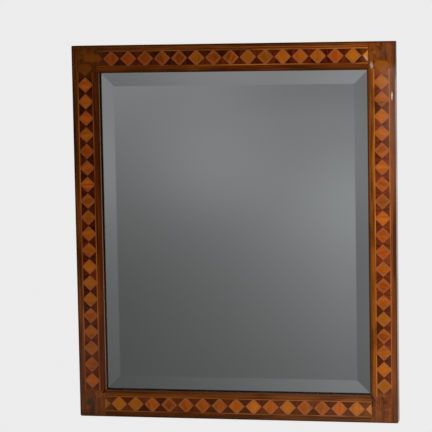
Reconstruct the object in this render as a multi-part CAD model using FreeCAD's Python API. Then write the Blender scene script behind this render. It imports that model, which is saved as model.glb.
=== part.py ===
import FreeCAD, Part
import os

# Marquetry wall mirror, in millimetres.
# +Z is up and the glass faces -Y. The origin is the middle of the backboard's rear face, which lies on the wall.

Vector = FreeCAD.Vector

# Overall size of the frame, across its face
frame_width = 600.0
frame_height = 695.0

# Widths across a frame member, from the outer edge to the sight edge
member_width = 51.0
lipping_thickness = 2.2
outer_band_width = 8.1
string_width = 1.8
lozenge_band_width = 25.6
lining_thickness = 2.4

# Depths, from the front to the wall
member_thickness = 22.0
veneer_thickness = 1.5
lip_thickness = 10.0
rebate_width = 8.0

# Rounding of the lipping and the lining, and the chip at the left end of the top rail
arris_round = 1.0
corner_round = 1.6
worn_corner_round = 3.2
sight_arris_round = 0.5
chip_length = 14.0
chip_depth = 1.1
chip_reach = 6.0

# Marquetry: whole lozenges on each member, and how far the cut ones at its ends go on, in pitches
rail_lozenges = 15
stile_lozenges = 19
rail_end_share = 0.3489
stile_top_share = 0.2795
stile_bottom_share = 0.1365
corner_fragment_rise = 14.5
knife_line = 0.1

# A lozenge in pitches: from point to point along the member, and the flat where a string cuts its point off
lozenge_share = 0.955
lozenge_flat_share = 0.16

# Mortise and tenon joints
tenon_thickness = 7.0
tenon_length = 30.0
tenon_haunch = 8.0
tenon_inner_shoulder = 4.0
tenon_clearance = 0.15
tenon_end_gap = 0.8

# Glass and its coats
glass_thickness = 5.0
glass_edge_thickness = 3.4
bevel_width = 32.0
glass_clearance = 1.0
silver_thickness = 0.1
paint_thickness = 0.2

# Glue blocks behind the glass
block_leg = 7.5
block_length = 42.0
stile_blocks = 3
rail_blocks = 2
block_glue_gap = 0.05

# Backboard of three boards
board_thickness = 6.0
board_chamfer = 2.0
board_gap = 0.6
board_names = ("top", "middle", "bottom")

# Backboard screws, slotted and countersunk
screw_head_radius = 2.9
screw_head_height = 1.7
screw_shank_radius = 1.4
screw_length = 16.0
screw_tip_length = 2.5
screw_slot_width = 0.8
screw_slot_depth = 0.8
screw_clearance = 0.05
screw_end_gap = 1.0
screw_from_board_end = 25.0
rail_screw_share = 0.5
slot_turn = 37.0

# Strap hangers with D-rings
ring_wire_radius = 1.3
ring_inner_width = 18.0
ring_corner_radius = 2.2
ring_leg_length = 3.0
ring_clearance = 0.3
ring_edge_margin = 3.5
ring_board_gap = 2.3
strap_width = 14.0
strap_thickness = 1.2
strap_length = 42.0
strap_end_round = 4.0
strap_screw_from_end = 6.0
strap_screw_spacing = 14.0
hanger_from_top = 182.5
hanger_screw_head_radius = 2.9
hanger_screw_head_height = 1.1
hanger_screw_length = 14.0

# One overrun serves every cut
overrun = 2.0

# Planes along Y
wall = 0.0
frame_back = wall - board_thickness
face = frame_back - member_thickness
veneer_back = face + veneer_thickness
lip_back = face + lip_thickness

# Lines across a member, measured from the outer edge
outer_string_start = lipping_thickness + outer_band_width
lozenge_start = outer_string_start + string_width
lozenge_end = lozenge_start + lozenge_band_width
inner_band_start = lozenge_end + string_width
seam = member_width - lining_thickness
rebate_wall = member_width - rebate_width

# Glass: the bevel touches the back of the lip at the sight edge
glass_edge = rebate_wall + glass_clearance
bevel_drop = glass_thickness - glass_edge_thickness
bevel_at_sight = bevel_drop * (member_width - glass_edge) / bevel_width
glass_back = lip_back + glass_edge_thickness + bevel_at_sight
glass_front = glass_back - glass_thickness
silver_back = glass_back + silver_thickness
paint_back = silver_back + paint_thickness

# Hangers: the ring has the outer part of the stile, and the backboard stops short of it
ring_half_width = ring_inner_width / 2 + ring_wire_radius
ring_outer_width = ring_inner_width + 4 * ring_wire_radius
hanger_line = ring_edge_margin + ring_outer_width / 2
board_edge = ring_edge_margin + ring_outer_width + ring_board_gap
screw_line = (board_edge + rebate_wall) / 2
barrel_bore = ring_wire_radius + ring_clearance
barrel_radius = barrel_bore + strap_thickness
barrel_y = frame_back + barrel_radius
hanger_z = frame_height / 2 - hanger_from_top

SIDES = ("left", "right", "top", "bottom")


def is_stile(side):
    return side in ("left", "right")


def half_length(side):
    """Half the outer length of a member, along itself."""
    return frame_height / 2 if is_stile(side) else frame_width / 2


def place(side, along, across, depth):
    """A point along a member, across it from its outer edge, at a depth, in the mirror's own axes."""
    if side == "left":
        return Vector(across - frame_width / 2, depth, along)
    if side == "right":
        return Vector(frame_width / 2 - across, depth, along)
    if side == "top":
        return Vector(along, depth, frame_height / 2 - across)
    return Vector(along, depth, across - frame_height / 2)


def polygon_face(points):
    return Part.Face(Part.makePolygon(points + [points[0]]))


def block(side, along, across, depth):
    """A rectangular block of a member, from pairs of limits."""
    a = place(side, along[0], across[0], depth[0])
    b = place(side, along[1], across[1], depth[1])
    low = Vector(min(a.x, b.x), min(a.y, b.y), min(a.z, b.z))
    return Part.makeBox(abs(b.x - a.x), abs(b.y - a.y), abs(b.z - a.z), low)


def slab(side, outline, front, back):
    """A flat piece whose outline lies in the face, as (along, across) pairs."""
    points = [place(side, s, t, front) for s, t in outline]
    return polygon_face(points).extrude(Vector(0, back - front, 0))


def bar(side, section, start, end):
    """A straight bar along a member, from its section as (across, depth) pairs."""
    points = [place(side, start, t, y) for t, y in section]
    return polygon_face(points).extrude(place(side, end, 0, 0) - place(side, start, 0, 0))


def cylinder_y(centre, radius, start, end):
    return Part.makeCylinder(radius, end - start, Vector(centre.x, start, centre.z), Vector(0, 1, 0))


def inset(outline, distance):
    """A convex outline with every side moved inwards."""
    area = sum(a[0] * b[1] - b[0] * a[1] for a, b in zip(outline, outline[1:] + outline[:1]))
    turn = 1 if area > 0 else -1
    lines = []
    for (ax, ay), (bx, by) in zip(outline, outline[1:] + outline[:1]):
        run = ((bx - ax) ** 2 + (by - ay) ** 2) ** 0.5
        nx, ny = -turn * (by - ay) / run, turn * (bx - ax) / run
        lines.append((nx, ny, nx * ax + ny * ay + distance))
    moved = []
    for (p, q, c), (r, s, d) in zip(lines[-1:] + lines[:-1], lines):
        cross = p * s - q * r
        moved.append(((c * s - q * d) / cross, (p * d - c * r) / cross))
    return moved


def clip(outline, low, high):
    """The part of a convex outline whose first coordinate lies between two limits."""
    for limit, sign in ((low, 1), (high, -1)):
        kept = []
        for a, b in zip(outline, outline[1:] + outline[:1]):
            inside_a, inside_b = sign * (a[0] - limit) >= 0, sign * (b[0] - limit) >= 0
            if inside_a:
                kept.append(a)
            if inside_a != inside_b:
                share = (limit - a[0]) / (b[0] - a[0])
                kept.append((limit, a[1] + share * (b[1] - a[1])))
        outline = kept
    return outline


def inlay(side, outline):
    """One piece of veneer, short of its neighbours by half a knife line all round."""
    return slab(side, inset(outline, knife_line / 2), face, veneer_back)


def rectangle(along, across):
    return [(along[0], across[0]), (along[1], across[0]), (along[1], across[1]), (along[0], across[1])]


# Carcass

def joint_run():
    """The limits across a rail between which its tenon lies."""
    return lipping_thickness + tenon_haunch, rebate_wall - tenon_inner_shoulder


def tenon_faces():
    """The front and rear faces of a tenon, in the middle of the member's depth."""
    middle = (veneer_back + frame_back) / 2
    return middle - tenon_thickness / 2, middle + tenon_thickness / 2


def member(side, lip_end, rear_end):
    """A member with its rebate. The lip and the rear part may end at different places."""
    lip = block(side, (-lip_end, lip_end), (lipping_thickness, seam), (veneer_back, lip_back))
    rear = block(side, (-rear_end, rear_end), (lipping_thickness, rebate_wall), (lip_back, frame_back))
    return lip.fuse(rear).removeSplitter()


def stile(side):
    end = half_length(side) - lipping_thickness
    body = member(side, end, end)
    near, far = joint_run()
    front, back = tenon_faces()
    depth = rebate_wall - tenon_length - tenon_end_gap, seam + overrun
    for sign in (1, -1):
        low, high = sorted(sign * (frame_height / 2 - t) for t in (near, far))
        mortise = block(
            side,
            (low - tenon_clearance, high + tenon_clearance),
            depth,
            (front - tenon_clearance, back + tenon_clearance),
        )
        body = body.cut(mortise)
    return body


def rail(side):
    body = member(side, frame_width / 2 - seam, frame_width / 2 - rebate_wall)
    reach = frame_width / 2 - rebate_wall + tenon_length
    return body.fuse(block(side, (-reach, reach), joint_run(), tenon_faces())).removeSplitter()


# Veneers and inlays

def run_limits(side):
    end = half_length(side) - seam
    return -end, end


def lozenge_row(side):
    """The pitch of a member's lozenges, and the middles of all of them, the cut ones included."""
    low, high = run_limits(side)
    if is_stile(side):
        count, low_share, high_share = stile_lozenges, stile_bottom_share, stile_top_share
    else:
        count, low_share, high_share = rail_lozenges, rail_end_share, rail_end_share
    pitch = (high - low) / (count + low_share + high_share)
    first = low + (low_share + 0.5) * pitch
    return pitch, [first + pitch * k for k in range(-1, count + 1)]


def lozenge_outline(middle, pitch):
    """Nearly a square on its corner, whose two points across the member the strings cut off."""
    centre_line = (lozenge_start + lozenge_end) / 2
    reach, flat = lozenge_share * pitch / 2, lozenge_flat_share * pitch / 2
    return [
        (middle - reach, centre_line),
        (middle - flat, lozenge_start),
        (middle + flat, lozenge_start),
        (middle + reach, centre_line),
        (middle + flat, lozenge_end),
        (middle - flat, lozenge_end),
    ]


def lozenges(side):
    low, high = run_limits(side)
    if is_stile(side):
        high += corner_fragment_rise
    pitch, middles = lozenge_row(side)
    return [inlay(side, clip(lozenge_outline(m, pitch), low, high)) for m in middles]


def ground(side):
    """The dark triangles between the lozenges, two at each gap, that meet in a short neck between the points."""
    low, high = run_limits(side)
    pitch, middles = lozenge_row(side)
    centre_line = (lozenge_start + lozenge_end) / 2
    reach, flat = lozenge_share * pitch / 2, lozenge_flat_share * pitch / 2
    pieces = []
    for a, b in zip(middles, middles[1:]):
        for edge in (lozenge_start, lozenge_end):
            triangle = [(a + flat, edge), (b - flat, edge), (b - reach, centre_line), (a + reach, centre_line)]
            pieces.append(inlay(side, clip(triangle, low, high)))
    return pieces


def outer_band(side):
    if is_stile(side):
        end = half_length(side) - lipping_thickness
        limits = (-end, end)
    else:
        limits = run_limits(side)
    return inlay(side, rectangle(limits, (lipping_thickness, outer_string_start)))


def strings(side):
    limits = run_limits(side)
    starts = (outer_string_start, lozenge_end)
    return [inlay(side, rectangle(limits, (t, t + string_width))) for t in starts]


def inner_band(side):
    return inlay(side, rectangle(run_limits(side), (inner_band_start, seam)))


def corner_field(side, upper):
    """The plain field at one end of a stile. The upper one is let in for the end lozenge."""
    seam_end = half_length(side) - seam
    outer_end = half_length(side) - lipping_thickness
    limits = (seam_end, outer_end) if upper else (-outer_end, -seam_end)
    field = inlay(side, rectangle(limits, (outer_string_start, seam)))
    if not upper:
        return field
    pitch, middles = lozenge_row(side)
    end_lozenge = clip(lozenge_outline(middles[-1], pitch), -outer_end, seam_end + corner_fragment_rise)
    return field.cut(slab(side, inset(end_lozenge, -knife_line / 2), face - overrun, veneer_back + overrun))


# Lipping and lining, mitred at the corners

def mitre(side, inner, front, back):
    """A member's share of a ring that is cut at 45 degrees at its corners."""
    end = half_length(side)
    outline = [(-end, 0), (end, 0), (end - inner, inner), (inner - end, inner)]
    return slab(side, outline, front, back)


def edges_along_y(shape):
    return [e for e in shape.Edges if e.BoundBox.XLength < e.BoundBox.YLength > e.BoundBox.ZLength]


def edges_on_plane(shape, y):
    tolerance = knife_line / 10
    return [e for e in shape.Edges if abs(e.BoundBox.YMin - y) < tolerance > abs(e.BoundBox.YMax - y)]


def edges_near(edges, point):
    """The edges whose middle is at a point, whatever their depth."""
    return [
        e for e in edges
        if abs(e.BoundBox.Center.x - point.x) < knife_line > abs(e.BoundBox.Center.z - point.z)
    ]


def outer_block():
    """The frame's whole outer form, with its corners and its front arris rounded."""
    low = Vector(-frame_width / 2, face, -frame_height / 2)
    shape = Part.makeBox(frame_width, member_thickness, frame_height, low)
    for right, up in ((-1, -1), (-1, 1), (1, -1), (1, 1)):
        radius = worn_corner_round if right < 0 > up else corner_round
        corner = Vector(right * frame_width / 2, face, up * frame_height / 2)
        shape = shape.makeFillet(radius, edges_near(edges_along_y(shape), corner))
    return shape.makeFillet(arris_round, edges_on_plane(shape, face))


def edge_chip():
    """The shallow scoop that is missing from the top edge, just inside the seam on the left."""
    radius = (chip_length ** 2 / 4 + chip_depth ** 2) / (2 * chip_depth)
    x = seam + chip_length / 2 - frame_width / 2
    centre = Vector(x, 0, frame_height / 2 - chip_depth + radius)
    return cylinder_y(centre, radius, face - overrun, face + chip_reach)


def lipping(side, whole):
    inner = Part.makeBox(
        frame_width - 2 * lipping_thickness,
        member_thickness + 2 * overrun,
        frame_height - 2 * lipping_thickness,
        Vector(lipping_thickness - frame_width / 2, face - overrun, lipping_thickness - frame_height / 2),
    )
    share = mitre(side, lipping_thickness + overrun, face, frame_back)
    strip = whole.cut(inner).common(share)
    return strip.cut(edge_chip()) if side == "top" else strip


def lining(side):
    """The strip on the inner edge of the lip, with its front arris eased."""
    end = half_length(side)
    outline = [
        (-end + seam, seam), (end - seam, seam),
        (end - member_width, member_width), (member_width - end, member_width),
    ]
    strip = slab(side, outline, face, lip_back)
    sight_line = place(side, 0, member_width, face)
    return strip.makeFillet(sight_arris_round, edges_near(edges_on_plane(strip, face), sight_line))


# Glass, coats and glue blocks

def glass_box(front, back):
    width, height = frame_width - 2 * glass_edge, frame_height - 2 * glass_edge
    return Part.makeBox(width, back - front, height, Vector(-width / 2, front, -height / 2))


def mirror_glass():
    plate = glass_box(glass_front, glass_back)
    for side in SIDES:
        end = half_length(side)
        slope = bevel_drop / bevel_width
        wedge = [
            (glass_edge - overrun, glass_front - overrun),
            (glass_edge - overrun, glass_front + bevel_drop + overrun * slope),
            (glass_edge + bevel_width, glass_front),
            (glass_edge + bevel_width, glass_front - overrun),
        ]
        plate = plate.cut(bar(side, wedge, -end, end))
    return plate


def glazing_blocks():
    """Triangular softwood blocks, glued in the corner between the rebate and the back of the glass."""
    glued_wall = rebate_wall + block_glue_gap
    glued_back = paint_back + block_glue_gap
    section = [(glued_wall, glued_back), (glued_wall + block_leg, glued_back), (glued_wall, glued_back + block_leg)]
    made = []
    for side in SIDES:
        count = stile_blocks if is_stile(side) else rail_blocks
        run = 2 * (half_length(side) - rebate_wall)
        for k in range(count):
            middle = run * ((k + 0.5) / count - 0.5)
            made.append(bar(side, section, middle - block_length / 2, middle + block_length / 2))
    return made


# Backboard

def board_half_width():
    return frame_width / 2 - board_edge


def board_half_height():
    return frame_height / 2 - board_edge


def board_limits():
    """The heights between which each of the three boards lies, from the top one down."""
    count = len(board_names)
    height = (2 * board_half_height() - (count - 1) * board_gap) / count
    tops = [board_half_height() - k * (height + board_gap) for k in range(count)]
    return [(top - height, top) for top in tops]


def board_screw_places():
    """Four screws to each board, and two more where the end boards cross the rails."""
    across = frame_width / 2 - screw_line
    places = []
    for low, high in board_limits():
        for z in (low + screw_from_board_end, high - screw_from_board_end):
            places += [Vector(-across, 0, z), Vector(across, 0, z)]
    up = frame_height / 2 - screw_line
    for z in (up, -up):
        places += [Vector(-across * rail_screw_share, 0, z), Vector(across * rail_screw_share, 0, z)]
    return places


def screw_holes(places, surface, head_radius, head_height, length):
    """What the screws take out of the boards, the straps and the members."""
    cuts = []
    for centre in places:
        seat = Part.makeCone(
            screw_shank_radius + screw_clearance, head_radius + screw_clearance,
            head_height, Vector(centre.x, surface - head_height, centre.z), Vector(0, 1, 0),
        )
        bottom = surface - length - screw_end_gap
        shank = cylinder_y(centre, screw_shank_radius + screw_clearance, bottom, surface)
        mouth = cylinder_y(centre, head_radius + screw_clearance, surface, surface + overrun)
        cuts.append(seat.fuse([shank, mouth]))
    return cuts


def screw(centre, surface, head_radius, head_height, length):
    """A slotted countersunk wood screw, its head flush with a surface."""
    neck = surface - head_height
    tip_top = surface - length + screw_tip_length
    head = Part.makeCone(
        screw_shank_radius, head_radius, head_height, Vector(centre.x, neck, centre.z), Vector(0, 1, 0),
    )
    shank = cylinder_y(centre, screw_shank_radius, tip_top, neck)
    tip = Part.makeCone(
        0, screw_shank_radius, screw_tip_length, Vector(centre.x, surface - length, centre.z), Vector(0, 1, 0),
    )
    slot = Part.makeBox(
        2 * (head_radius + overrun), screw_slot_depth + overrun, screw_slot_width,
        Vector(centre.x - head_radius - overrun, surface - screw_slot_depth, centre.z - screw_slot_width / 2),
    )
    return head.fuse([shank, tip]).cut(slot)


def board_screw_cuts():
    return screw_holes(board_screw_places(), wall, screw_head_radius, screw_head_height, screw_length)


def turned(screws, places):
    """Screws driven home by hand, so that no two slots in a row line up."""
    return [
        s.rotate(p, Vector(0, 1, 0), k * slot_turn) for k, (s, p) in enumerate(zip(screws, places))
    ]


def board_screws():
    places = board_screw_places()
    screws = [screw(p, wall, screw_head_radius, screw_head_height, screw_length) for p in places]
    return turned(screws, places)


def backboard(index):
    """One board, its rear edges chamfered where it meets the outline of the whole backboard."""
    width, height = 2 * board_half_width(), 2 * board_half_height()
    panel = Part.makeBox(width, board_thickness, height, Vector(-width / 2, frame_back, -height / 2))
    panel = panel.makeChamfer(board_chamfer, edges_on_plane(panel, wall))
    low, high = board_limits()[index]
    slice_box = Part.makeBox(
        width + 2 * overrun, board_thickness + 2 * overrun, high - low,
        Vector(-width / 2 - overrun, frame_back - overrun, low),
    )
    return panel.common(slice_box).cut(board_screw_cuts())


# Hangers

def hanger_x(side):
    return place(side, 0, hanger_line, 0).x


def hanger_screw_places(side):
    end = hanger_z - strap_length + strap_screw_from_end
    return [Vector(hanger_x(side), 0, end + k * strap_screw_spacing) for k in range(2)]


def hanger_cuts(side):
    surface = frame_back + strap_thickness
    return screw_holes(
        hanger_screw_places(side), surface, hanger_screw_head_radius, hanger_screw_head_height,
        hanger_screw_length,
    )


def hanger_screws():
    surface = frame_back + strap_thickness
    places = hanger_screw_places("left") + hanger_screw_places("right")
    screws = [
        screw(p, surface, hanger_screw_head_radius, hanger_screw_head_height, hanger_screw_length)
        for p in places
    ]
    return turned(screws, places)


def hanger_strap(side):
    """A plate that is rolled round the straight bar of the ring at its upper end."""
    left = hanger_x(side) - strap_width / 2
    plate = Part.makeBox(
        strap_width, strap_thickness, strap_length, Vector(left, frame_back, hanger_z - strap_length),
    )
    lower = [e for e in edges_along_y(plate) if e.BoundBox.ZMax < hanger_z - strap_length / 2]
    plate = plate.makeFillet(strap_end_round, lower)
    start = Vector(left, barrel_y, hanger_z)
    outside = Part.makeCylinder(barrel_radius, strap_width, start, Vector(1, 0, 0))
    bore = Part.makeCylinder(
        barrel_bore, strap_width + 2 * overrun, start - Vector(overrun, 0, 0), Vector(1, 0, 0),
    )
    return plate.fuse(outside).cut([bore] + hanger_cuts(side)).removeSplitter()


def hanger_ring(side):
    """A D-ring of round wire, hanging down from the bar in the strap's barrel."""
    centre = Vector(hanger_x(side), barrel_y, hanger_z)
    bend = ring_corner_radius
    diagonal = bend * (1 - 0.5 ** 0.5)
    leg_end = -bend - ring_leg_length
    half_diagonal = ring_half_width * 0.5 ** 0.5
    halves = []
    for sign in (1, -1):
        def at(x, z):
            return centre + Vector(sign * x, 0, z)
        path = Part.Wire([
            Part.makeLine(at(0, 0), at(ring_half_width - bend, 0)),
            Part.Arc(
                at(ring_half_width - bend, 0), at(ring_half_width - diagonal, -diagonal),
                at(ring_half_width, -bend),
            ).toShape(),
            Part.makeLine(at(ring_half_width, -bend), at(ring_half_width, leg_end)),
            Part.Arc(
                at(ring_half_width, leg_end), at(half_diagonal, leg_end - half_diagonal),
                at(0, leg_end - ring_half_width),
            ).toShape(),
        ])
        section = Part.Wire([Part.makeCircle(ring_wire_radius, centre, Vector(1, 0, 0))])
        halves.append(path.makePipeShell([section], True, False))
    return halves[0].fuse(halves[1]).removeSplitter()


def print_sizes():
    """Sizes that the record repeats, in millimetres."""
    print("face", face, "frame_back", frame_back, "glass_front", glass_front, "glass_back", glass_back)
    print("hanger x", hanger_x("right"), "y", barrel_y, "z", hanger_z, "ring half width", ring_half_width)
    for side in ("left", "top"):
        pitch, middles = lozenge_row(side)
        print(side, "pitch", round(pitch, 3), "first", round(middles[1], 3), "last", round(middles[-2], 3))


def save(name, pieces):
    shape = Part.makeCompound(pieces) if isinstance(pieces, list) else pieces
    shape.exportStep(f"parts/{name}.step")
    print(name, len(shape.Solids), "valid" if shape.isValid() else "NOT VALID")


def carcass(side):
    body = stile(side) if is_stile(side) else rail(side)
    cuts = board_screw_cuts()
    if is_stile(side):
        cuts += hanger_cuts(side)
    return body.cut([c for c in cuts if c.BoundBox.intersect(body.BoundBox)])


def main():
    os.makedirs("parts", exist_ok=True)
    whole = outer_block()
    for side in SIDES:
        save(("stile_" if is_stile(side) else "rail_") + side, carcass(side))
        save("lipping_" + side, lipping(side, whole))
        save("sight_lining_" + side, lining(side))
        save("outer_band_" + side, outer_band(side))
        save("inner_band_" + side, inner_band(side))
        save("strings_" + side, strings(side))
        save("lozenges_" + side, lozenges(side))
        save("ground_" + side, ground(side))
    for side in ("left", "right"):
        save("corner_field_top_" + side, corner_field(side, True))
        save("corner_field_bottom_" + side, corner_field(side, False))
        save("hanger_strap_" + side, hanger_strap(side))
        save("hanger_ring_" + side, hanger_ring(side))
    save("mirror_glass", mirror_glass())
    save("silver_film", glass_box(glass_back, silver_back))
    save("backing_paint", glass_box(silver_back, paint_back))
    save("glazing_blocks", glazing_blocks())
    for index, name in enumerate(board_names):
        save("backboard_" + name, backboard(index))
    save("backboard_screws", board_screws())
    save("hanger_screws", hanger_screws())
    print_sizes()


main()
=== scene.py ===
import math

import bpy
from mathutils import Matrix, Vector


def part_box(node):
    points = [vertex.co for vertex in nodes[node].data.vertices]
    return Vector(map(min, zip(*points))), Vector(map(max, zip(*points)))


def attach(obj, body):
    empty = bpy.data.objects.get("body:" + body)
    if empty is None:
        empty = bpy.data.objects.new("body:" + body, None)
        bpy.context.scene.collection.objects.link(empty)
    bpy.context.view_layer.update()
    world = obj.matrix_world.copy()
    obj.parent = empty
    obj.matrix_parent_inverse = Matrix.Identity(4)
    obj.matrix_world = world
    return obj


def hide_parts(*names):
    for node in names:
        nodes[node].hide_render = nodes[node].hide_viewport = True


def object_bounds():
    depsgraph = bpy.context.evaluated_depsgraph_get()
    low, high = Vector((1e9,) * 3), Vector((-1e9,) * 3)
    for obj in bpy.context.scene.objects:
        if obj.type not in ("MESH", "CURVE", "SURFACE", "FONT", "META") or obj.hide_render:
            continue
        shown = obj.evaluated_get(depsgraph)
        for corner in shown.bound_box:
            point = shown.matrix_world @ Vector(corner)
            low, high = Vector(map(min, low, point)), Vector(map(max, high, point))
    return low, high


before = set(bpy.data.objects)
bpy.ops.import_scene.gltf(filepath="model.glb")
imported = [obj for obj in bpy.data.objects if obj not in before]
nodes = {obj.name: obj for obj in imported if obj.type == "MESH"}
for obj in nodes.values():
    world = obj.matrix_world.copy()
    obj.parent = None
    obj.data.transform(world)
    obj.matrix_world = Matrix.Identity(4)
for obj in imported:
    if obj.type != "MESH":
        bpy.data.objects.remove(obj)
cad_low, cad_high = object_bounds()

# The carcass: two stiles and two rails of sawn pine, tenoned together. Only their back and the rebate show,
# dry and brown from a century of air, with plane tracks and a few small knots.
members = {"left": "stile_left", "right": "stile_right", "top": "rail_top", "bottom": "rail_bottom"}
quarter_turn = math.pi / 2


def add(tree, kind, **settings):
    """A node with its settings; its inputs are filled afterwards."""
    made = tree.nodes.new(kind)
    for name, value in settings.items():
        setattr(made, name, value)
    return made


def feed(tree, socket, value):
    """Sets a socket, or links it when the value is another node's output."""
    if isinstance(value, bpy.types.NodeSocket):
        tree.links.new(value, socket)
    elif value is not None:
        socket.default_value = value


def fill(tree, sockets, **values):
    """Feeds sockets by their names, with _ for a space."""
    for name, value in values.items():
        feed(tree, sockets[name.replace("_", " ")], value)


def feed_all(tree, sockets, *values):
    """Feeds sockets in their order."""
    for socket, value in zip(sockets, values):
        feed(tree, socket, value)


def calculate(tree, operation, first, second=None, third=None, limited=False):
    made = add(tree, "ShaderNodeMath", operation=operation, use_clamp=limited)
    feed_all(tree, made.inputs, first, second, third)
    return made.outputs[0]


def times(tree, first, second, limited=False):
    return calculate(tree, "MULTIPLY", first, second, limited=limited)


def times_plus(tree, first, second, third, limited=False):
    """The first times the second, plus the third."""
    return calculate(tree, "MULTIPLY_ADD", first, second, third, limited)


def minus(tree, first, second):
    return calculate(tree, "SUBTRACT", first, second)


def blend(tree, share, under, over, how="MIX"):
    """Two colours, mixed or laid one over the other."""
    made = add(tree, "ShaderNodeMix", data_type="RGBA", blend_type=how, clamp_factor=True)
    feed_all(tree, [made.inputs[0]] + [s for s in made.inputs if s.type == "RGBA"], share, under, over)
    return next(s for s in made.outputs if s.type == "RGBA")


def coordinates(tree, vector):
    """The X, Y and Z of a place, as outputs by those names."""
    made = add(tree, "ShaderNodeSeparateXYZ")
    tree.links.new(vector, made.inputs[0])
    return made.outputs


def channels(tree, colour):
    """The three channels of a colour."""
    made = add(tree, "ShaderNodeSeparateColor")
    tree.links.new(colour, made.inputs[0])
    return made.outputs


def between(tree, value, low, high, at_low=0.0, at_high=1.0, how="SMOOTHSTEP"):
    """A soft step of a value from one limit to another, or a straight one."""
    made = add(tree, "ShaderNodeMapRange", interpolation_type=how)
    feed_all(tree, made.inputs, value, low, high, at_low, at_high)
    return made.outputs[0]


def noise(tree, vector, per_metre, detail=3.0, rough=0.5, bent=0.0):
    """Noise with so many waves in a metre: one number, or one for each axis."""
    waves = (per_metre,) * 3 if isinstance(per_metre, float) else per_metre
    scaled = add(tree, "ShaderNodeMapping")
    fill(tree, scaled.inputs, Vector=vector, Scale=waves)
    made = add(tree, "ShaderNodeTexNoise")
    fill(tree, made.inputs, Vector=scaled.outputs[0], Scale=1.0)
    fill(tree, made.inputs, Detail=detail, Roughness=rough, Distortion=bent)
    return made.outputs[0]


def new_group(name, results, **inputs):
    """A shader group: what it gives, and what it takes besides places, by name with _ for a space."""
    tree = bpy.data.node_groups.new(name, "ShaderNodeTree")
    tree.interface.new_socket("Vector", in_out="INPUT", socket_type="NodeSocketVector")
    for taken, value in inputs.items():
        kind = "NodeSocketColor" if isinstance(value, tuple) else "NodeSocketFloat"
        socket = tree.interface.new_socket(taken.replace("_", " "), in_out="INPUT", socket_type=kind)
        socket.default_value = value
    for result_name in results:
        kind = {"Color": "NodeSocketColor", "Grain": "NodeSocketVector"}.get(result_name, "NodeSocketFloat")
        tree.interface.new_socket(result_name, in_out="OUTPUT", socket_type=kind)
    given = add(tree, "NodeGroupInput").outputs
    return tree, given["Vector"], given, add(tree, "NodeGroupOutput").inputs


def use_group(tree, group, **values):
    """A group placed in a material or in another group."""
    made = add(tree, "ShaderNodeGroup", node_tree=group)
    fill(tree, made.inputs, **values)
    return made.outputs


def new_material(name, roughness=0.5, **fixed):
    """A material with its Principled shader, and the places on the piece, in metres."""
    made = bpy.data.materials.new(name)
    made.use_nodes = True
    tree = made.node_tree
    shader = tree.nodes["Principled BSDF"]
    fill(tree, shader.inputs, Roughness=roughness, **fixed)
    return made, tree, shader, add(tree, "ShaderNodeTexCoord").outputs["Object"]


def relief(tree, shader, height, depth):
    """Fine relief from a height of 0 to 1 that stands for a depth in metres."""
    bump = add(tree, "ShaderNodeBump")
    fill(tree, bump.inputs, Strength=1.0, Distance=depth, Height=height)
    tree.links.new(bump.outputs[0], shader.inputs["Normal"])


def along_grain(tree, vector, upright, place=(0.0, 0.0, 0.0)):
    """Turns the places so that the grain runs along X: on an upright piece it runs along Z."""
    made = add(tree, "ShaderNodeMapping")
    turn = (0.0, quarter_turn if upright else 0.0, 0.0)
    fill(tree, made.inputs, Vector=vector, Location=place, Rotation=turn)
    return made.outputs[0]


def centred_grain(tree, vector, name, upright, shift):
    """The same, counted from a piece's middle, with a shift that gives the piece its own wood."""
    low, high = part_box(name)
    middle = (low + high) / 2
    across_middle = -middle.x if upright else middle.z
    return along_grain(tree, vector, upright, place=(shift, 0.0, -across_middle))


def finish_node(name, material):
    mesh = nodes[name].data
    mesh.materials.clear()
    mesh.materials.append(material)


carcass_pale = (0.300, 0.165, 0.072, 1)
carcass_dark = (0.130, 0.058, 0.022, 1)
fibre_shadow = (0.30, 0.22, 0.16, 1)
knot_brown = (0.060, 0.022, 0.008, 1)
# In metres: the step of the rings, and how far the heart wanders, the rings wobble and a knot pushes them
ring_step, heart_wander, ring_wobble, knot_push = 0.0044, 0.110, 0.009, 0.018
knots_per_metre = (4.5, 9.0, 9.0)

softwood, places, given, result = new_group(
    "softwood", ("Color", "Height"), Pale=carcass_pale, Dark=carcass_dark,
    Heart_Depth=0.04, Heart_Across=0.0, Knot_Share=0.3,
)
knot_cells = add(softwood, "ShaderNodeMapping")
fill(softwood, knot_cells.inputs, Vector=places, Scale=knots_per_metre)
knots = add(softwood, "ShaderNodeTexVoronoi")
fill(softwood, knots.inputs, Vector=knot_cells.outputs[0], Scale=1.0)
knot_number = channels(softwood, knots.outputs["Color"])[0]
is_knot = calculate(softwood, "LESS_THAN", knot_number, given["Knot Share"])
knot_bulge = times(softwood, between(softwood, knots.outputs["Distance"], 0.5, 0.05), is_knot)
knot_heart = times(softwood, between(softwood, knots.outputs["Distance"], 0.085, 0.055), is_knot)
wander = noise(softwood, places, (1.7, 2.5, 2.5), detail=2.0)
wobble = noise(softwood, places, (9.0, 26.0, 26.0), detail=2.0)
heart_depth = times_plus(softwood, wander, heart_wander, given["Heart Depth"])
heart_across = minus(softwood, coordinates(softwood, places)["Z"], given["Heart Across"])
heart_across = times_plus(softwood, wobble, ring_wobble, heart_across)
across_squared = calculate(softwood, "POWER", heart_across, 2.0)
ring_radius = calculate(softwood, "SQRT", times_plus(softwood, heart_depth, heart_depth, across_squared))
ring_radius = times_plus(softwood, knot_bulge, knot_push, ring_radius)
in_ring = calculate(softwood, "FRACT", calculate(softwood, "DIVIDE", ring_radius, ring_step))
late_wood = times(softwood, between(softwood, in_ring, 0.36, 0.90), between(softwood, in_ring, 1.0, 0.93))
fibres = noise(softwood, places, (60.0, 2200.0, 2200.0), detail=2.0)
patches = noise(softwood, places, (5.0, 22.0, 22.0), detail=4.0)
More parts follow.
